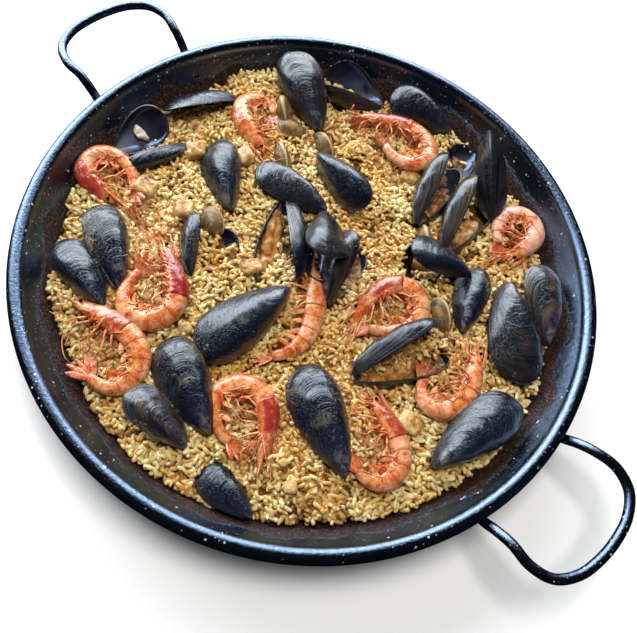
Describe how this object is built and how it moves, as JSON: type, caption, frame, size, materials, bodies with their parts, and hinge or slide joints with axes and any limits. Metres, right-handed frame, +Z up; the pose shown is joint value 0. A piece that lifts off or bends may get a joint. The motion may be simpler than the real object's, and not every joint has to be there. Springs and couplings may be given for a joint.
{
  "type": "seafood paella in its pan",
  "caption": "Seafood paella of golden rice with mussels, prawns, clams and squid, in the wide shallow pan of dark enamelled steel that it is cooked and served in.",
  "frame": {"origin": "middle of the pan's flat underside, on the surface that it stands on", "axes": "+Z up, +X through the middle of one handle, the other handle on -X"},
  "size_m": [0.5176, 0.3994, 0.0588],
  "materials": {
    "enamel": "glossy black enamel with fine white specks and a slight orange peel",
    "rice": "moist, softly glossy cooked grains",
    "mussel_shell": "wet blue-black shell with growth lines",
    "prawn_shell": "wet, thin, slightly translucent shell",
    "clam_shell": "satin shell",
    "squid": "moist, soft"
  },
  "bodies": {
    "root": {"pan": "enamel", "handle_right": "enamel", "handle_left": "enamel", "mussel_01": "mussel_shell", "mussel_02": "mussel_shell", "mussel_03": "mussel_shell", "mussel_04": "mussel_shell", "mussel_05": "mussel_shell", "mussel_06": "mussel_shell", "mussel_07": "mussel_shell", "mussel_08": "mussel_shell", "mussel_09": "mussel_shell", "mussel_10": "mussel_shell", "mussel_11": "mussel_shell", "mussel_12": "mussel_shell", "mussel_13": "mussel_shell", "mussel_14": "mussel_shell", "mussel_15": "mussel_shell", "mussel_16": "mussel_shell", "mussel_17": "mussel_shell", "mussel_18": "mussel_shell", "mussel_19": "mussel_shell", "mussel_20": "mussel_shell", "mussel_21": "mussel_shell", "mussel_22": "mussel_shell", "mussel_23": "mussel_shell", "mussel_24": "mussel_shell", "mussel_25": "mussel_shell", "mussel_26": "mussel_shell", "mussel_27": "mussel_shell", "mussel_28": "mussel_shell", "mussel_29": "mussel_shell", "mussel_30": "mussel_shell", "mussel_31": "mussel_shell", "prawn_01": "prawn_shell", "prawn_02": "prawn_shell", "prawn_03": "prawn_shell", "prawn_04": "prawn_shell", "prawn_05": "prawn_shell", "prawn_06": "prawn_shell", "prawn_07": "prawn_shell", "prawn_08": "prawn_shell", "prawn_09": "prawn_shell", "prawn_10": "prawn_shell", "prawn_11": "prawn_shell", "clam_1": "clam_shell", "clam_2": "clam_shell", "clam_3": "clam_shell", "clam_4": "clam_shell", "clam_5": "clam_shell", "clam_6": "clam_shell", "clam_7": "clam_shell", "squid_1": "squid", "squid_2": "squid", "squid_3": "squid", "squid_4": "squid", "squid_5": "squid", "squid_6": "squid", "squid_7": "squid", "rice": "rice"}
  },
  "joints": []
}
